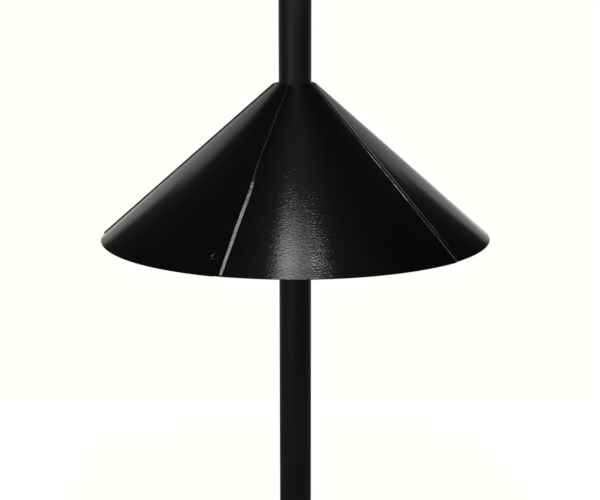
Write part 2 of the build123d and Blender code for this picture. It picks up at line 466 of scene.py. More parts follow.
def rounded(corners: Sequence[Corner], closed: bool, steps: int = 4) -> Profile:
    """Rounds the corners of an outline.

    Args:
        corners: The sharp outline.
        closed: Whether the last corner joins the first.
        steps: Segments in each rounding.

    Returns:
        The points of the rounded outline, in order.
    """
    points: Profile = []
    count = len(corners)
    for index, corner in enumerate(corners):
        here = Vector((corner.x, corner.y))
        at_end = not closed and index in (0, count - 1)
        if corner.radius == 0 or at_end:
            points.append((here.x, here.y))
            continue
        before = corners[index - 1]
        after = corners[(index + 1) % count]
        back = (Vector((before.x, before.y)) - here).normalized()
        ahead = (Vector((after.x, after.y)) - here).normalized()
        half = back.angle(ahead) / 2
        centre = here + (back + ahead).normalized() * (corner.radius / math.sin(half))
        start = here + back * (corner.radius / math.tan(half)) - centre
        end = here + ahead * (corner.radius / math.tan(half)) - centre
        sweep = start.angle(end)
        for step in range(steps + 1):
            part = step / steps
            arm = start * math.sin((1 - part) * sweep) + end * math.sin(part * sweep)
            arm /= math.sin(sweep)
            points.append((centre.x + arm.x, centre.y + arm.y))
    return points


class MeshDraft:
    """Points and faces that are gathered before they become one mesh piece."""

    def __init__(self) -> None:
        """Starts empty."""
        self.points: list[Vector] = []
        self.faces: list[tuple[int, ...]] = []

    def add_grid(self, rows: Sequence[Sequence[Vector]], wrap_rows: bool = False) -> int:
        """Adds four-sided faces between rows, each of which is a closed loop.

        Args:
            rows: The points, row by row, as many in each.
            wrap_rows: Whether the last row joins the first.

        Returns:
            The index of the first new point.
        """
        first = len(self.points)
        for row in rows:
            self.points.extend(row)
        row_count = len(rows)
        columns = len(rows[0])
        for row in range(row_count if wrap_rows else row_count - 1):
            low = first + row * columns
            high = first + ((row + 1) % row_count) * columns
            for column in range(columns):
                after = (column + 1) % columns
                self.faces.append((low + column, low + after, high + after, high + column))
        return first

    def add_spin(self, rows: Sequence[SpinRow], segments: int, place: Matrix, wrap_rows: bool) -> None:
        """Adds rows turned about a local Z axis.

        Args:
            rows: For each row, radius and height by angle.
            segments: How many columns make the full turn.
            place: Carries the local frame to the part's frame.
            wrap_rows: True for a ring, False for a body closed at both ends.
        """
        angles = [FULL_TURN * step / segments for step in range(segments)]
        grid = []
        for row in rows:
            line = []
            for angle in angles:
                radius, height = row(angle)
                spot = Vector((radius * math.cos(angle), radius * math.sin(angle), height))
                line.append(place @ spot)
            grid.append(line)
        first = self.add_grid(grid, wrap_rows)
        if not wrap_rows:
            last = first + (len(rows) - 1) * segments
            self.faces.append(tuple(range(first, first + segments)))
            self.faces.append(tuple(range(last, last + segments)))

    def piece(
        self, name: str, body: Body, nodes: Sequence[str], slot: Slot, finishes: Finishes
    ) -> bpy.types.Object:
        """Makes the mesh piece, puts it in the frame and dresses it.

        Args:
            name: The piece's name.
            body: The CAD body that it rides on.
            nodes: The CAD nodes that it stands for.
            slot: The record's material slot.
            finishes: The materials.

        Returns:
            The new object.
        """
        mesh = bpy.data.meshes.new(name)
        mesh.from_pydata(self.points, [], self.faces)
        work = bmesh.new()
        work.from_mesh(mesh)
        bmesh.ops.recalc_face_normals(work, faces=work.faces)
        work.to_mesh(mesh)
        work.free()
        mesh.shade_smooth()
        mesh.set_sharp_from_angle(angle=SHARP_ANGLE)
        piece = bpy.data.objects.new(name, mesh)
        bpy.context.scene.collection.objects.link(piece)
        mesh.materials.append(finishes.of(slot))
        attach(piece, body.value)
        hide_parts(*nodes)
        return piece


def round_edges(piece: bpy.types.Object, width: float) -> None:
    """Rounds a piece's sharp edges with a bevel.

    Args:
        piece: The object.
        width: The bevel's width.
    """
    bevel = piece.modifiers.new("round_edges", "BEVEL")
    bevel.width = width
    bevel.segments = BEVEL_SEGMENTS
    bevel.limit_method = "ANGLE"
    bevel.angle_limit = BEVEL_ANGLE
    bevel.harden_normals = False


def lathe_rows(profile: Profile) -> list[SpinRow]:
    """Rows of a plain turned shape."""
    return [lambda angle, spot=spot: spot for spot in profile]


def turned(outline: Profile, segments: int) -> MeshDraft:
    """Turns a closed outline about the pole's axis.

    Args:
        outline: Radius and height of each point.
        segments: How many columns make the full turn.

    Returns:
        The mesh of the ring.
    """
    draft = MeshDraft()
    draft.add_spin(lathe_rows(outline), segments, Matrix.Identity(4), wrap_rows=True)
    return draft


def dress(node: str, slot: Slot, finishes: Finishes, edge: float) -> bpy.types.Object:
    """Gives a CAD node its finish and softens its edges.

    Args:
        node: The CAD node's name.
        slot: The record's material slot.
        finishes: The materials.
        edge: The width of the softened edge.

    Returns:
        The CAD node's object.
    """
    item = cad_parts[node]
    item.data.materials.clear()
    item.data.materials.append(finishes.of(slot))
    round_edges(item, edge)
    return item


@dataclass(frozen=True)
class Pole:
    """The tube pole and the coupler in its upper end."""

    radius: float = 16.0 * MM
    bore: float = 14.5 * MM
    length: float = 580.0 * MM
    socket: float = 14.9 * MM
    socket_depth: float = 42.0 * MM
    sleeve: float = 14.4 * MM
    sleeve_bore: float = 12.9 * MM
    insertion: float = 60.0 * MM
    bead_height: float = 3.0 * MM
    bead_edge: float = 0.9 * MM
    spigot: float = 14.7 * MM
    spigot_edge: float = 0.72 * MM
    reach: float = 40.0 * MM
    edge: float = 0.3 * MM
    segments: int = 128

    def build(self, finishes: Finishes) -> Pieces:
        """Makes the tube and the coupler."""
        return [self.tube(finishes), self.coupler(finishes)]

    def tube(self, finishes: Finishes) -> bpy.types.Object:
        """Makes the pole, opened out inside its lower end.

        Args:
            finishes: The materials.

        Returns:
            The tube.
        """
        corners = [
            Corner(self.socket, 0, self.edge),
            Corner(self.radius, 0, self.edge),
            Corner(self.radius, self.length, self.edge),
            Corner(self.bore, self.length, self.edge),
            Corner(self.bore, self.socket_depth),
            Corner(self.socket, self.socket_depth),
        ]
        draft = turned(rounded(corners, closed=True), self.segments)
        return draft.piece("pole_tube_shell", Body.POLE, ["pole_tube"], Slot.POLE_COAT, finishes)

    def coupler(self, finishes: Finishes) -> bpy.types.Object:
        """Makes the sleeve, its bead and the free end above it.

        Args:
            finishes: The materials.

        Returns:
            The coupler.
        """
        low = self.length - self.insertion
        bead_top = self.length + self.bead_height
        top = bead_top + self.reach
        corners = [
            Corner(self.sleeve_bore, low),
            Corner(self.sleeve, low, self.edge),
            Corner(self.sleeve, self.length),
            Corner(self.radius, self.length, self.bead_edge),
            Corner(self.radius, bead_top, self.bead_edge),
            Corner(self.spigot, bead_top),
            Corner(self.spigot, top, self.spigot_edge),
            Corner(self.sleeve_bore, top, self.edge),
        ]
        draft = turned(rounded(corners, closed=True), self.segments)
        nodes = ["pole_coupler"]
        return draft.piece("pole_coupler_sleeve", Body.POLE, nodes, Slot.POLE_COAT, finishes)


@dataclass(frozen=True)
class ConeShape:
    """Sizes that the panels and fasteners share, with azimuths in degrees from the front."""

    rim_radius: float = 192.5 * MM
    height: float = 151.5 * MM
    rim_z: float = 310.0 * MM
    throat_radius: float = 20.5 * MM
    sheet: float = 0.8 * MM
    panel_count: int = 5
    first_seam: float = -22.0
    lap_at_rim: float = 20.0 * MM
    lap_gap: float = 0.1 * MM

    @property
    def slope(self) -> float:
        """The angle of the cone's side to the level."""
        return math.atan2(self.height, self.rim_radius - self.throat_radius)

    @property
    def slant(self) -> float:
        """The length of the cone's side."""
        return math.hypot(self.height, self.rim_radius - self.throat_radius)

    @property
    def throat_z(self) -> float:
        """The height of the throat's outer edge."""
        return self.rim_z + self.height

    @property
    def pitch(self) -> float:
        """The angle from one seam to the next."""
        return 360.0 / self.panel_count

    @property
    def lap_step(self) -> float:
        """How far a covering edge stands off the sheet under it."""
        return self.sheet + self.lap_gap

    @property
    def lap_angle(self) -> float:
        """How far a panel reaches under its neighbour."""
        return math.degrees(self.lap_at_rim / self.rim_radius)

    def seam(self, index: int) -> float:
        """The azimuth of a panel's covering edge."""
        return self.first_seam + index * self.pitch

    def outward(self, azimuth: float) -> Vector:
        """The level direction away from the pole."""
        angle = math.radians(azimuth)
        return Vector((math.sin(angle), -math.cos(angle), 0))

    def along(self, azimuth: float) -> Vector:
        """The level direction of growing azimuth."""
        angle = math.radians(azimuth)
        return Vector((math.cos(angle), math.sin(angle), 0))

    def normal(self, azimuth: float) -> Vector:
        """The direction square to the outer face."""
        return self.outward(azimuth) * math.sin(self.slope) + Vector((0, 0, math.cos(self.slope)))

    def axis_offset(self, index: int) -> Vector:
        """Finds how far a panel's own axis stands from the pole's.

        Args:
            index: The panel, from 0.

        Returns:
            The level way from the pole's axis to the panel's.
        """
        half = math.radians(self.pitch / 2)
        shift = self.lap_step / (2 * math.sin(half) * math.sin(self.slope))
        return self.along(self.seam(index) - self.pitch / 2) * shift

    def radius_at(self, slant: float) -> float:
        """The outer radius at a distance down the side."""
        return self.throat_radius + slant * math.cos(self.slope)

    def point(self, index: int, azimuth: float, slant: float) -> Vector:
        """A point on a panel's outer face."""
        spot = self.axis_offset(index) + self.outward(azimuth) * self.radius_at(slant)
        return spot + Vector((0, 0, self.throat_z - slant * math.sin(self.slope)))


@dataclass(frozen=True)
class Ridge:
    """The section of one hand-worked seam ridge, at the throat and at the rim."""

    height: float = 0.38 * MM
    wall: Span = (0.4 * MM, 0.6 * MM)
    flat: Span = (2.3 * MM, 2.5 * MM)
    lip: Span = (2.2 * MM, 2.6 * MM)
    settles: Span = (0.33, 0.6)
    flare: float = 0.0
    pinch: float = 0.0
    sink: float = 0.0
    flare_start: float = 0.72
    bulge: float = 0.0
    bulge_place: float = 0.53
    bulge_span: float = 0.15

    def wall_width(self, part: float) -> float:
        """The width of the ridge's wall at a share of the way from throat to rim."""
        off_middle = (part - self.bulge_place) / self.bulge_span
        return self.at(self.wall, part) + self.bulge * math.exp(-off_middle * off_middle)

    def crest_width(self, part: float) -> float:
        """The width of the ridge's flat crest at a share of the way from throat to rim."""
        return self.at(self.flat, part) + self.flare * self.opened(part)

    def lip_width(self, part: float) -> float:
        """The width of the ridge's sloping lip at a share of the way from throat to rim."""
        return self.at(self.lip, part) - self.pinch * self.opened(part)

    def crest_height(self, part: float) -> float:
        """The height of the ridge's crest at a share of the way from throat to rim."""
        return self.height - self.sink * self.opened(part)

    def opened(self, part: float) -> float:
        """How far the ridge has spread towards the rim, from 0 to 1."""
        return max(part - self.flare_start, 0.0) / (1 - self.flare_start)

    def at(self, sizes: Span, part: float) -> float:
        """Finds a size that changes softly where the ridge settles.

        Args:
            sizes: The size above that stretch and below it.
            part: 0 at the throat, 1 at the rim.

        Returns:
            The size at that place.
        """
        low, high = self.settles
        share = held((part - low) / (high - low))
        share *= share * (3 - 2 * share)
        return sizes[0] + (sizes[1] - sizes[0]) * share


@dataclass(frozen=True)
class Waver:
    """One sine of the ridge's wander along its length."""

    size: float
    turns: float
    shift: float


@dataclass(frozen=True)
class Swell:
    """One sine of the sheet's unevenness, down and across a panel."""

    size: float
    down: float
    across: float
    shift: float


@dataclass(frozen=True)
class ConePanel:
    """One rolled panel with the ridge pressed along its covering edge."""

    cone: ConeShape
    index: int
    ridge: Ridge
    lip_edge: float = 0.25 * MM
    foot_gap: float = 0.15 * MM
    rim_setback: float = 2.0 * MM
    wall_radius: float = 0.25 * MM
    lip_radius: float = 1.2 * MM
    ridge_steps: int = 6
    lead: float = 0.7 * MM
    wavers: tuple[Waver, ...] = (Waver(0.5, 7.3, 1.0), Waver(0.3, 12.7, 2.0), Waver(0.2, 19.1, 0.0))
    waver_shift: float = 2.3
    wall_swing: float = 0.05 * MM
    wall_phase: float = 1.0
    flat_swing: float = 0.15 * MM
    flat_phase: float = 0.0
    height_swing: float = 0.04 * MM
    height_phase: float = 2.0
    rows: int = 112
    columns: int = 72
    swells: tuple[Swell, ...] = (Swell(1.0, 5.2, 2.1, 1.0), Swell(0.6, 9.7, -6.3, 2.0))
    swell_shift: float = 1.7
    swell_height: float = 0.08 * MM
    swell_start: float = 1 / 3
    seam_margin: float = 2.0
    flare_width: float = 12.0 * MM
    flare_height: float = 0.15 * MM
    flare_fade: float = 1 / 12
    edge: float = 0.18 * MM

    def build(self, finishes: Finishes) -> bpy.types.Object:
        """Makes the panel as one closed sheet.

        Args:
            finishes: The materials.

        Returns:
            The panel.
        """
        draft = MeshDraft()
        loops = []
        for step in range(self.rows + 1):
            outer, inner = self.cross_section(step / self.rows)
            loops.append(outer + inner[::-1])
        first = draft.add_grid(loops)
        half = len(loops[0]) // 2
        for start in (first, first + self.rows * 2 * half):
            for column in range(half - 1):
                far = start + 2 * half - 1 - column
                draft.faces.append((start + column, start + column + 1, far - 1, far))
        name = f"cone_panel_{self.index + 1}"
        piece = draft.piece(f"{name}_sheet", Body.CONE, [name], Slot.PANEL_COAT, finishes)
        round_edges(piece, self.edge)
        return piece

    def cross_section(self, part: float) -> tuple[list[Vector], list[Vector]]:
        """Finds the panel's section at a share of the way from throat to rim.

        Args:
            part: 0 at the throat, 1 at the rim.

        Returns:
            Outer points and inner points.
        """
        cone = self.cone
        slant = part * cone.slant
        seam = cone.seam(self.index)
        start = seam - cone.pitch - cone.lap_angle
        lead_angle = math.degrees(self.lead / cone.radius_at(slant))
        outer: list[Vector] = []
        inner: list[Vector] = []
        for step in range(self.columns):
            azimuth = start + (seam - lead_angle - start) * step / self.columns
            normal = cone.normal(azimuth)
            spot = cone.point(self.index, azimuth, slant) + normal * self.rise(azimuth, slant)
            outer.append(spot)
            inner.append(spot - normal * cone.sheet)
        along = cone.along(seam)
        normal = cone.normal(seam)
        for (x, y), (inner_x, inner_y) in zip(*self.ridge_outline(part)):
            raised = held(x / self.ridge.wall[1])
            base = cone.point(self.index, seam, part * (cone.slant - raised * self.rim_setback))
            outer.append(base + along * x + normal * y)
            inner.append(base + along * inner_x + normal * inner_y)
        return outer, inner

    def ridge_outline(self, part: float) -> tuple[Profile, Profile]:
        """Finds the ridge's section along and off the sheet.

        Args:
            part: 0 at the throat, 1 at the rim.

        Returns:
            The outer and the inner line, point for point.
        """
        sheet = self.cone.sheet
        ridge = self.ridge
        wall = ridge.wall_width(part) + self.wall_swing * self.wander(part, self.wall_phase)
        flat = ridge.crest_width(part) + self.flat_swing * self.wander(part, self.flat_phase)
        crest = ridge.crest_height(part) + self.height_swing * self.wander(part, self.height_phase)
        lip_start = wall + flat
        lip_end = lip_start + ridge.lip_width(part)
        foot = self.foot_gap - self.cone.lap_step
        corners = [
            Corner(-self.lead, 0),
            Corner(0, 0, self.wall_radius),
            Corner(wall, crest, self.wall_radius),
            Corner(lip_start, crest, self.lip_radius),
            Corner(lip_end, foot + self.lip_edge),
        ]
        outer = rounded(corners, closed=False, steps=self.ridge_steps)
        inner = []
        for x, y in outer:
            thinned = held((x - lip_start) / (lip_end - lip_start))
            inner.append((x, y - sheet - thinned * (self.lip_edge - sheet)))
        return outer, inner

    def wander(self, part: float, phase: float) -> float:
        """Finds how far the hand-worked ridge strays at a place along it.

        Args:
            part: 0 at the throat, 1 at the rim.
            phase: Tells one size of the ridge from another.

        Returns:
            A share from -1 to 1.
        """
        turn = FULL_TURN * part
        own = phase + self.waver_shift * self.index
        return sum(one.size * math.sin(one.turns * turn + one.shift * own) for one in self.wavers)

    def rise(self, azimuth: float, slant: float) -> float:
        """Finds how far the sheet stands off a true cone between its seams.

        Args:
            azimuth: The place round the pole, in degrees.
            slant: The distance down the side.

        Returns:
            The unevenness and the flare of the rim, taken together.
        """
        cone = self.cone
        low = cone.seam(self.index) - cone.pitch + self.seam_margin
        high = cone.seam(self.index) - self.seam_margin
        share = (azimuth - low) / (high - low)
        if not 0 < share < 1:
            return 0.0
        down = slant / cone.slant
        uneven = 0.0
        for one in self.swells:
            phase = one.shift * self.swell_shift * self.index
            uneven += one.size * math.sin(one.down * down + one.across * share + phase)
        arch = math.sin(math.pi * share) ** 2 * min(1.0, down / self.swell_start)
        flare = held(1 - (cone.slant - slant) / self.flare_width)
        fade = min(1.0, share / self.flare_fade, (1 - share) / self.flare_fade)
        return self.swell_height * arch * uneven + self.flare_height * flare * fade


@dataclass(frozen=True)
class Hexagon:
    """A hexagon nut or screw head with turned-off corners."""

    flats: float
    height: float
    hole: float = 0.0
    face_share: float = 0.475
    chamfer_share: float = 0.09
    hole_chamfer_share: float = 0.027
    middle_share: float = 0.1
    segments: int = 72

    def add_to(self, draft: MeshDraft, place: Matrix, low: float, dish: Sequence[Span] = ()) -> None:
        """Adds the hexagon to a mesh.

        Args:
            draft: The mesh that takes it.
            place: The frame of the fastener.
            low: The height of its lower face.
            dish: Radius and depth of each row of a dished top, from its edge inwards.
        """
        high = low + self.height
        below = self.middle(low, 1)
        above = self.middle(high, -1)[::-1]
        if dish:
            above = [(radius, high - depth) for radius, depth in dish]
        rows = [*lathe_rows(below), *self.sides(low, high), *lathe_rows(above)]
        draft.add_spin(rows, self.segments, place, wrap_rows=self.hole > 0)

    def middle(self, level: float, inwards: int) -> Profile:
        """Finds where a face ends at its middle.

        Args:
            level: The height of the face.
            inwards: 1 where the metal is above the face, -1 where it is below.

        Returns:
            The chamfer of the hole, or one point of a solid face.
        """
        if self.hole == 0:
            return [(self.middle_share * self.flats, level)]
        cut = self.hole_chamfer_share * self.flats
        return [(self.hole, level + inwards * cut), (self.hole + cut, level)]

    def sides(self, low: float, high: float) -> list[SpinRow]:
        """Makes the rows from the lower face's edge to the upper one's.

        Args:
            low: The height of the lower face.
            high: The height of the upper face.

        Returns:
            Rows whose corners are turned off towards both faces.
        """
        face = self.face_share * self.flats
        corner = self.reach(0.0)
        between = (face + corner) / 2
        chamfer = self.chamfer_share * self.flats
        limits = [
            (face, low),
            (between, low + chamfer / 2),
            (corner, low + chamfer),
            (corner, high - chamfer),
            (between, high - chamfer / 2),
            (face, high),
        ]
        return [partial(self.side, limit, height) for limit, height in limits]

    def side(self, limit: float, height: float, angle: float) -> tuple[float, float]:
        """A point of the hexagon's side, held inside a circle."""
        return min(self.reach(angle), limit), height

    def reach(self, angle: float) -> float:
        """Finds the distance from the middle to the side.

        Args:
            angle: The direction, from a corner.

        Returns:
            The distance.
        """
        sixth = FULL_TURN / 6
        off_middle = (angle % sixth) - sixth / 2
        return self.flats / 2 / math.cos(off_middle)


@dataclass(frozen=True)
class Thread:
    """The rolled thread of a screw, from the underside of its head down."""

    radius: float
    length: float
    pitch: float
    depth: float
    tip_share: float
    full_from: float = 0.0
    neck: float = 0.2 * MM
    rows_in_pitch: int = 6
    segments: int = 32

    def add_to(self, draft: MeshDraft, place: Matrix) -> None:
        """Adds the threaded shank to a mesh.

        Args:
            draft: The mesh that takes it.
            place: The frame of the screw, Z out of its head.
        """
        rows = lathe_rows([(self.radius, self.neck), (self.radius, 0.0)])
        count = round(self.length / self.pitch * self.rows_in_pitch)
        for step in range(1, count + 1):
            rows.append(partial(self.flank, self.length * step / count))
        rows += lathe_rows([(self.tip_share * self.radius, -self.length)])
        draft.add_spin(rows, self.segments, place, wrap_rows=False)

    def flank(self, deep: float, angle: float) -> tuple[float, float]:
        """Finds a point of the thread, which runs out at both of its ends.

        Args:
            deep: The depth under the head.
            angle: The angle about the screw's axis.

        Returns:
            Radius and height.
        """
        phase = (deep / self.pitch + angle / FULL_TURN) % 1.0
        tooth = 1 - abs(2 * phase - 1)
        begin = held(1 + (deep - self.full_from) / self.pitch)
        ending = held((self.length - deep) / self.pitch)
        return self.radius - self.depth * begin * (1 - tooth * ending), -deep


@dataclass(frozen=True)
class Washer:
    """A flat washer with rounded edges."""

    radius: float
    hole: float
    thickness: float
    rim_edge: float
    hole_edge: float
    segments: int

    def add_to(self, draft: MeshDraft, place: Matrix, low: float) -> None:
        """Adds the washer to a mesh.

        Args:
            draft: The mesh that takes it.
            place: A frame on the washer's axis.
            low: The height of its lower face.
        """
        high = low + self.thickness
        corners = [
            Corner(self.hole, low, self.hole_edge),
            Corner(self.radius, low, self.rim_edge),
            Corner(self.radius, high, self.rim_edge),
            Corner(self.hole, high, self.hole_edge),
        ]
        rows = lathe_rows(rounded(corners, closed=True))
        draft.add_spin(rows, self.segments, place, wrap_rows=True)


@dataclass(frozen=True)
class ClosingScrew:
    """The screw, washer and nut that close the last seam."""

    cone: ConeShape
    seam: int = 0
    from_ridge: float = 5.7 * MM
    from_rim: float = 19.7 * MM
    head: Hexagon = Hexagon(flats=7.0 * MM, height=2.4 * MM)
    dish_margin: float = 0.65 * MM
    dish_depth: float = 0.75 * MM
    dish_wall: float = 41.0
    dish_fillet: float = 0.6 * MM
    dish_steps: int = 6
    thread: Thread = Thread(
        radius=2.0 * MM, length=8.0 * MM, pitch=0.7 * MM, depth=0.4 * MM, tip_share=0.5
    )
    seat_gap: float = 0.06 * MM
    washer: Washer = Washer(
        radius=4.5 * MM,
        hole=2.2 * MM,
        thickness=0.8 * MM,
        rim_edge=0.2 * MM,
        hole_edge=0.1 * MM,
        segments=40,
    )
    nut: Hexagon = Hexagon(flats=7.0 * MM, height=3.2 * MM, hole=2.05 * MM)

    def build(self, finishes: Finishes) -> Pieces:
        """Makes the screw, the washer and the nut.

        Args:
            finishes: The materials.

        Returns:
            The three pieces.
        """
        place = self.place()
        screw = MeshDraft()
        self.head.add_to(screw, place, 0.0, self.dish())
        self.thread.add_to(screw, place)
        seat = -self.cone.lap_step - self.cone.sheet - self.seat_gap
        washer_low = seat - self.washer.thickness
        washer = MeshDraft()
        self.washer.add_to(washer, place, washer_low)
        nut = MeshDraft()
        self.nut.add_to(nut, place, washer_low - self.nut.height)
        return [
            screw.piece("seam_screw_hex", Body.CONE, ["seam_screw"], Slot.SCREW_COAT, finishes),
            washer.piece("seam_washer_round", Body.CONE, ["seam_washer"], Slot.ZINC, finishes),
            nut.piece("seam_nut_hexagon", Body.CONE, ["seam_nut"], Slot.ZINC, finishes),
        ]

    def place(self) -> Matrix:
        """Finds where the screw stands.

        Returns:
            The frame of the screw: Z out of the sheet, X along the seam's turn.
        """
        cone = self.cone
        slant = cone.slant - self.from_rim
        azimuth = cone.seam(self.seam) - math.degrees(self.from_ridge / cone.radius_at(slant))
        out = cone.normal(azimuth)
        along = cone.along(azimuth)
        axes = Matrix((along, out.cross(along), out)).transposed().to_4x4()
        return Matrix.Translation(cone.point(self.seam, azimuth, slant)) @ axes

    def dish(self) -> Profile:
        """Makes the head's dished top.

        Returns:
            Radius and depth from the dish's edge to its flat bottom.
        """
        edge = self.head.flats / 2 - self.dish_margin
        wall = math.radians(self.dish_wall)
        wall_depth = self.dish_depth - self.dish_fillet * (1 - math.cos(wall))
        bottom = edge - wall_depth / math.tan(wall) - self.dish_fillet * math.sin(wall)
        rows: Profile = [(edge, 0.0)]
        for step in range(self.dish_steps + 1):
            angle = wall * (1 - step / self.dish_steps)
            depth = self.dish_depth - self.dish_fillet * (1 - math.cos(angle))
            rows.append((bottom + self.dish_fillet * math.sin(angle), depth))
        return rows


@dataclass(frozen=True)
class Cone:
    """The cone: five lapped panels and the screw that closes the last seam."""

    shape: ConeShape = ConeShape()
    closing_ridge: Ridge = Ridge(
        flat=(0.65 * MM, 2.1 * MM),
        lip=(0.95 * MM, 2.95 * MM),
        settles=(0.38, 0.66),
        flare=2.3 * MM,
        pinch=0.6 * MM,
        sink=0.2 * MM,
    )
    deep_ridge: Ridge = Ridge(
        height=0.55 * MM,
        wall=(0.45 * MM, 0.42 * MM),
        flat=(3.3 * MM, 3.3 * MM),
        lip=(2.8 * MM, 2.8 * MM),
        bulge=0.19 * MM,
    )
    plain_ridge: Ridge = Ridge()

    def build(self, finishes: Finishes) -> Pieces:
        """Makes the panels and the closing screw.

        Args:
            finishes: The materials.

        Returns:
            The panels, then the screw's three pieces.
        """
        plain = self.plain_ridge
        ridges = (self.closing_ridge, self.deep_ridge, plain, plain, plain)
        panels = [ConePanel(self.shape, index, ridge) for index, ridge in enumerate(ridges)]
        pieces = [panel.build(finishes) for panel in panels]
        return pieces + ClosingScrew(self.shape).build(finishes)


@dataclass(frozen=True)
class PivotRing:
    """The domed ring that carries the cone."""

    bore: float = 16.3 * MM
    pivot_z: float = 434.14 * MM
    dome_radius: float = 32.47 * MM
    seat_z: float = 448.14 * MM
    top_z: float = 460.3 * MM
    edge: float = 0.3 * MM
    dome_steps: int = 16
    segments: int = 96

    def build(self, finishes: Finishes) -> Pieces:
        """Makes the ring.

        Args:
            finishes: The materials.

        Returns:
            The ring, as the only piece.
        """
        seat_angle = math.asin((self.seat_z - self.pivot_z) / self.dome_radius)
        top_angle = math.asin((self.top_z - self.pivot_z) / self.dome_radius)
        turn_back = self.edge / self.dome_radius
        start = seat_angle + turn_back
        end = top_angle - turn_back
        outline: Profile = [
            (self.bore, self.seat_z + self.edge),
            (self.bore + self.edge, self.seat_z),
            (self.dome_radius * math.cos(seat_angle) - self.edge, self.seat_z),
        ]
        for step in range(self.dome_steps + 1):
            angle = start + (end - start) * step / self.dome_steps
            height = self.pivot_z + self.dome_radius * math.sin(angle)
            outline.append((self.dome_radius * math.cos(angle), height))
        outline.append((self.dome_radius * math.cos(top_angle) - self.edge, self.top_z))
        outline.append((self.bore + self.edge, self.top_z))
        outline.append((self.bore, self.top_z - self.edge))
        draft = turned(outline, self.segments)
        return [draft.piece("pivot_ring_dome", Body.RING, ["pivot_ring"], Slot.RING_NYLON, finishes)]


@dataclass(frozen=True)
class ClampCollar:
    """The two-part collar under the ring, with its liners, bolts and wing nuts."""

    bolt_x: float = 36.7 * MM
    bolt_z: float = 409.94 * MM
    bolt_end: float = 19.3 * MM
    bolt_radius: float = 2.5 * MM
    bolt_tip_share: float = 0.6
    thread_pitch: float = 0.8 * MM
    thread_depth: float = 0.45 * MM
    head: Hexagon = Hexagon(flats=8.0 * MM, height=3.5 * MM)
    ear_out: float = 7.6 * MM
    washer: Washer = Washer(
        radius=5.0 * MM,
        hole=2.7 * MM,
        thickness=1.0 * MM,
        rim_edge=0.25 * MM,
        hole_edge=0.12 * MM,
        segments=48,
    )
    half_edge: float = 0.5 * MM
    liner_edge: float = 0.2 * MM
    wing_nut_edge: float = 0.4 * MM

    @property
    def washer_out(self) -> float:
        """How far the washers' outer faces stand from the collar's middle."""
        return self.ear_out + self.washer.thickness

    def build(self, finishes: Finishes) -> Pieces:
        """Makes the bolts and washers and dresses the CAD nodes.

        Args:
            finishes: The materials.

        Returns:
            The made pieces, then the dressed nodes.
        """
        pieces = [self.bolt(hand, finishes) for hand in Hand]
        pieces.append(self.washers(finishes))
        for side in Side:
            end = side.name.lower()
            half = f"collar_half_{end}"
            liner = f"collar_liner_{end}"
            pieces.append(dress(half, Slot.COLLAR_NYLON, finishes, self.half_edge))
            pieces.append(dress(liner, Slot.LINER_RUBBER, finishes, self.liner_edge))
        for hand in Hand:
            wing_nut = f"wing_nut_{hand.name.lower()}"
            pieces.append(dress(wing_nut, Slot.ZINC, finishes, self.wing_nut_edge))
        return pieces

    def washers(self, finishes: Finishes) -> bpy.types.Object:
        """Makes the four washers on the collar's ears.

        Args:
            finishes: The materials.

        Returns:
            The washers, as one piece.
        """
        draft = MeshDraft()
        for hand in Hand:
            for side in Side:
                low = min(-side.value * self.ear_out, -side.value * self.washer_out)
                self.washer.add_to(draft, self.place(hand, 0.0), low)
        return draft.piece("clamp_washer_set", Body.COLLAR, ["clamp_washers"], Slot.ZINC, finishes)

    def place(self, hand: Hand, y: float) -> Matrix:
        """A frame on one bolt's axis, Z to the front."""
        spot = Matrix.Translation((hand.value * self.bolt_x, y, self.bolt_z))
        return spot @ Matrix.Rotation(math.pi / 2, 4, "X")

    def bolt(self, hand: Hand, finishes: Finishes) -> bpy.types.Object:
        """Makes one bolt, plain under its head and threaded from the collar's middle on.

        Args:
            hand: The end of the collar that it closes.
            finishes: The materials.

        Returns:
            The bolt.
        """
        draft = MeshDraft()
        place = self.place(hand, -self.washer_out)
        self.head.add_to(draft, place, 0.0)
        thread = Thread(
            radius=self.bolt_radius,
            length=self.washer_out + self.bolt_end,
            pitch=self.thread_pitch,
            depth=self.thread_depth,
            tip_share=self.bolt_tip_share,
            full_from=self.washer_out + self.thread_pitch,
        )
        thread.add_to(draft, place)
        node = f"clamp_bolt_{hand.name.lower()}"
        return draft.piece(f"{node}_hex", Body.COLLAR, [node], Slot.ZINC, finishes)


@dataclass(frozen=True)
class Softbox:
    """An area lamp that the camera does not see."""

    name: str
    place: Place
    width: float
    height: float
    radiance: float
    target: Place = (0.0, 0.0, 0.38)

    def build(self) -> None:
        """Makes the lamp."""
        lamp = bpy.data.lights.new(self.name, "AREA")
        lamp.shape = "RECTANGLE"
        lamp.size = self.width
        lamp.size_y = self.height
        lamp.energy = self.radiance * math.pi * self.width * self.height
        holder = bpy.data.objects.new(self.name, lamp)
        bpy.context.scene.collection.objects.link(holder)
        holder.location = self.place
        aim = Vector(self.target) - Vector(self.place)
        holder.rotation_euler = aim.to_track_quat("-Z", "Y").to_euler()
        holder.visible_camera = False


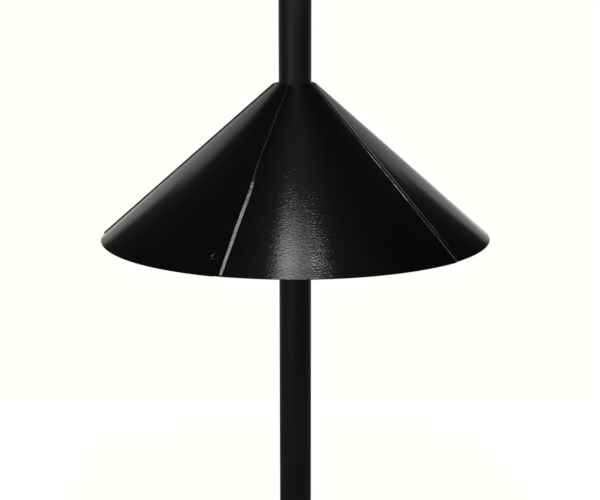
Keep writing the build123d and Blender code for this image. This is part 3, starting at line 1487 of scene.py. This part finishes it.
@dataclass(frozen=True)
class Studio:
    """The camera, the lamps, the pale floor and the world."""

    camera_place: Place = (4.77 * MM, -1426.2 * MM, 600.8 * MM)
    camera_pitch: float = 12.1
    camera_roll: float = -0.025
    lens: float = 87.55
    sensor_width: float = 36.0
    sight: Span = (0.01, 200.0)
    diffuse_level: float = 0.6
    side_span: Span = (-0.5, 0.5)
    side_levels: Span = (0.012, 0.004)
    front_span: Span = (-0.6, -0.25)
    front_level: float = 0.55
    raised_span: Span = (0.3, 0.5)
    floor_half: float = 30.0
    floor_drop: float = 0.5 * MM
    floor_white: Colour = (0.948, 0.95, 0.915)
    floor_shadowed: Colour = (0.08, 0.08, 0.08)
    floor_pale: Colour = (0.8, 0.8, 0.8)
    behind_span: Span = (0.5, 2.0)
    behind_level: float = 0.5
    across_span: Span = (-0.6, 0.6)
    across_levels: Span = (0.18, 0.08)
    near_span: Span = (-2.6, -0.2)
    near_levels: Span = (1.6, 0.6)
    softboxes: tuple[Softbox, ...] = (
        Softbox("top_left_softbox", (-0.08, -0.53, 1.6), 0.15, 0.55, 9.0, (-0.08, -0.53, 0.0)),
        Softbox("top_right_softbox", (0.055, -0.53, 1.6), 0.12, 0.55, 3.3, (0.055, -0.53, 0.0)),
        Softbox("top_front_softbox", (0.1, -1.05, 1.6), 0.26, 0.5, 16.0, (0.1, -1.05, 0.0)),
        Softbox("seam_softbox", (0.73, -1.03, 6.0), 0.56, 0.28, 22.0, (0.73, -1.03, 0.0)),
        Softbox("left_front_softbox", (-1.19, -1.82, 0.5), 0.5, 1.0, 1.75),
        Softbox("low_back_panel", (-0.01, 0.45, 0.32), 0.82, 0.64, 0.48, (-0.01, 0.0, 0.32)),
        Softbox("high_back_panel", (-0.005, 0.45, 0.8), 0.95, 0.32, 0.52, (-0.005, 0.0, 0.8)),
    )

    def build(self) -> None:
        """Makes the whole studio."""
        bpy.context.scene.view_settings.view_transform = "Standard"
        self.camera()
        for softbox in self.softboxes:
            softbox.build()
        self.world()
        self.floor()

    def camera(self) -> None:
        """Makes the camera at the photograph's viewing angle."""
        data = bpy.data.cameras.new("camera")
        data.lens = self.lens
        data.sensor_width = self.sensor_width
        data.sensor_fit = "HORIZONTAL"
        data.clip_start, data.clip_end = self.sight
        camera = bpy.data.objects.new("camera", data)
        bpy.context.scene.collection.objects.link(camera)
        tilt = Matrix.Rotation(math.radians(90 - self.camera_pitch), 4, "X")
        roll = Matrix.Rotation(math.radians(self.camera_roll), 4, "Z")
        camera.matrix_world = Matrix.Translation(self.camera_place) @ tilt @ roll
        bpy.context.scene.camera = camera

    def world(self) -> None:
        """Makes the world: white to the camera, dim in reflections but for a glow in front."""
        world = bpy.data.worlds.new("studio")
        world.use_nodes = True
        bpy.context.scene.world = world
        sheet = NodeSheet(world.node_tree)
        direction = sheet.add("ShaderNodeTexCoord").outputs["Generated"]
        split = sheet.add("ShaderNodeSeparateXYZ", Vector=direction).outputs
        sides = sheet.remap(split["X"], self.side_span, self.side_levels)
        ahead = sheet.remap(split["Y"], self.front_span, (self.front_level, 0.0))
        raised = sheet.remap(split["Z"], self.raised_span, (0.0, 1.0))
        seen = sheet.math("ADD", sides, sheet.math("MULTIPLY", ahead, raised))
        in_view, mirrored = sheet.rays()
        level = sheet.add(
            "ShaderNodeMix", {"data_type": "FLOAT"}, Factor=mirrored, A=self.diffuse_level, B=seen
        ).outputs["Result"]
        strength = sheet.math("MAXIMUM", in_view, level)
        glow = sheet.add("ShaderNodeBackground", Color=WHITE, Strength=strength)
        sheet.add("ShaderNodeOutputWorld", Surface=glow.outputs[0])

    def floor(self) -> None:
        """Makes a plain pale floor at the pole's foot."""
        half = self.floor_half
        mesh = bpy.data.meshes.new("floor")
        corners = [(-half, -half, 0), (half, -half, 0), (half, half, 0), (-half, half, 0)]
        mesh.from_pydata(corners, [], [(0, 1, 2, 3)])
        floor = bpy.data.objects.new("floor", mesh)
        bpy.context.scene.collection.objects.link(floor)
        floor.location.z = -self.floor_drop
        mesh.materials.append(self.floor_material())

    def floor_material(self) -> bpy.types.Material:
        """Makes the floor's finish: pale in itself, near white to the camera, dimmer in reflections.

        Returns:
            The finish as a node material.
        """
        material, sheet = new_material("floor")
        place = sheet.add("ShaderNodeNewGeometry").outputs["Position"]
        split = sheet.add("ShaderNodeSeparateXYZ", Vector=place).outputs
        behind = sheet.remap(split["Y"], self.behind_span, (0.0, self.behind_level))
        across = sheet.remap(split["X"], self.across_span, self.across_levels)
        near = sheet.remap(split["Y"], self.near_span, self.near_levels)
        mirror_level = sheet.math("MAXIMUM", behind, sheet.math("MULTIPLY", across, near))
        in_view, mirrored = sheet.rays()
        strength = sheet.math("MAXIMUM", in_view, mirror_level)
        glow = sheet.add("ShaderNodeEmission", Color=(*self.floor_white, 1), Strength=strength)
        soft = sheet.add("ShaderNodeBsdfDiffuse", Color=(*self.floor_shadowed, 1))
        shown = sheet.add("ShaderNodeAddShader")
        sheet.feed(shown.inputs[0], glow.outputs[0])
        sheet.feed(shown.inputs[1], soft.outputs[0])
        pale = sheet.add("ShaderNodeBsdfDiffuse", Color=(*self.floor_pale, 1))
        direct = sheet.math("MAXIMUM", in_view, mirrored)
        whole = sheet.add("ShaderNodeMixShader", Fac=direct)
        sheet.feed(whole.inputs[1], pale.outputs[0])
        sheet.feed(whole.inputs[2], shown.outputs[0])
        sheet.add("ShaderNodeOutputMaterial", Surface=whole.outputs[0])
        return material


def main() -> None:
    """Builds the studio and every sub-assembly in order, and reports each piece."""
    logging.basicConfig(level=logging.INFO, format="%(message)s")
    Studio().build()
    finishes = Finishes()
    finishes.make()
    for assembly in (Pole(), Cone(), PivotRing(), ClampCollar()):
        for piece in assembly.build(finishes):
            log.info("%s: %d faces", piece.name, len(piece.data.polygons))
    bpy.context.view_layer.update()


if __name__ == "__main__":
    main()
